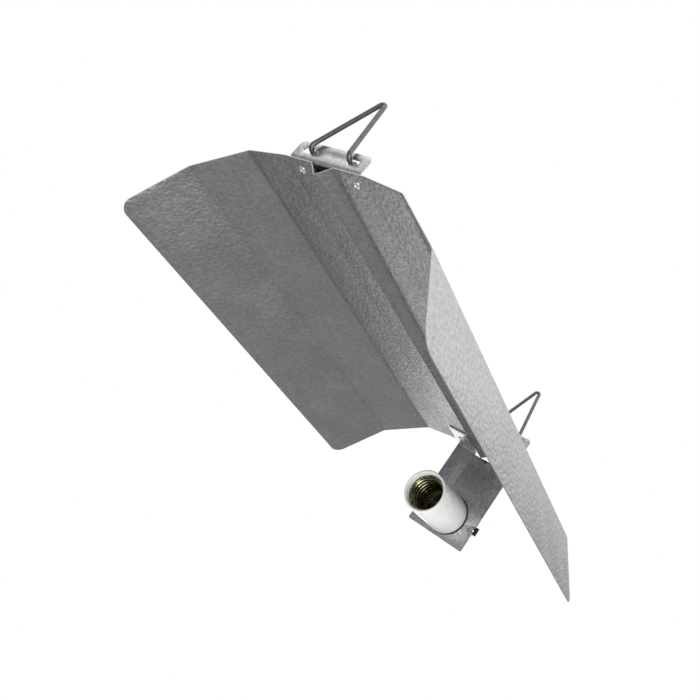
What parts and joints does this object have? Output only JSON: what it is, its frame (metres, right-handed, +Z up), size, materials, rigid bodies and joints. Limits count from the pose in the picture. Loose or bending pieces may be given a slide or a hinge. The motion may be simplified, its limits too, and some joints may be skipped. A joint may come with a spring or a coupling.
{
  "type": "grow lamp",
  "caption": "Hanging grow lamp: open wing reflector of folded stucco aluminium with wire hangers and a porcelain screw lampholder on an end plate.",
  "frame": {"origin": "on the reflector's ridge line, at the top face of the flat crown and midway along the sheet, below the two hanging loops", "axes": "+X across the wings, +Y along the ridge towards the lampholder end, +Z up towards the hanging loops"},
  "size_m": [0.3616, 0.5017, 0.2307],
  "materials": {
    "stucco_aluminium": "embossed, satin",
    "galvanised_steel": "hot-dip galvanised, spangled",
    "drawn_wire": "drawn, dull",
    "rivet_aluminium": "bright",
    "porcelain": "white glaze",
    "gasket_rubber": "matte",
    "shell_plating": "nickel-plated brass, yellowed",
    "contact_brass": "plain",
    "spring_steel": "plain",
    "zinc_steel": "bright zinc plating",
    "black_nylon": "moulded",
    "black_rubber": "moulded"
  },
  "bodies": {
    "reflector": {"reflector_sheet": "stucco_aluminium", "front_bracket": "galvanised_steel", "rear_bracket": "galvanised_steel", "lampholder_plate": "galvanised_steel", "front_rivets": "rivet_aluminium", "rear_rivets": "rivet_aluminium", "base_gasket": "gasket_rubber", "lampholder_body": "porcelain", "screw_shell": "shell_plating", "shell_screws": "zinc_steel", "contact_spring": "spring_steel", "centre_terminal": "contact_brass", "shell_terminal": "contact_brass", "shell_nut": "zinc_steel", "terminal_screws": "zinc_steel", "mounting_screws": "zinc_steel", "mounting_washers": "zinc_steel", "mounting_nuts": "zinc_steel", "cable_grommet": "black_rubber", "cord_clip": "black_nylon", "clip_screw": "zinc_steel", "clip_nut": "zinc_steel", "earth_stud": "contact_brass", "earth_washer": "zinc_steel", "earth_nut": "contact_brass"},
    "front_hanger": {"front_hanger": "drawn_wire"},
    "rear_hanger": {"rear_hanger": "drawn_wire"},
    "contact": {"centre_contact": "contact_brass", "contact_clip": "spring_steel"}
  },
  "joints": [
    {"name": "front_hanger_swing", "type": "hinge", "parent": "reflector", "child": "front_hanger", "pos_m": [0, -0.23425, 0.0097], "axis": [1, 0, 0], "range_deg": [-9.5, 33.5]},
    {"name": "rear_hanger_swing", "type": "hinge", "parent": "reflector", "child": "rear_hanger", "pos_m": [0, 0.23895, 0.0352], "axis": [1, 0, 0], "range_deg": [-15.5, 27.5]},
    {"name": "centre_contact_press", "type": "slide", "parent": "reflector", "child": "contact", "axis": [0, 0.9972, 0.075], "range_m": [0, 0.002], "stiffness_N_per_m": 1500, "springref_m": -0.001, "deforming": ["contact_spring"]}
  ]
}
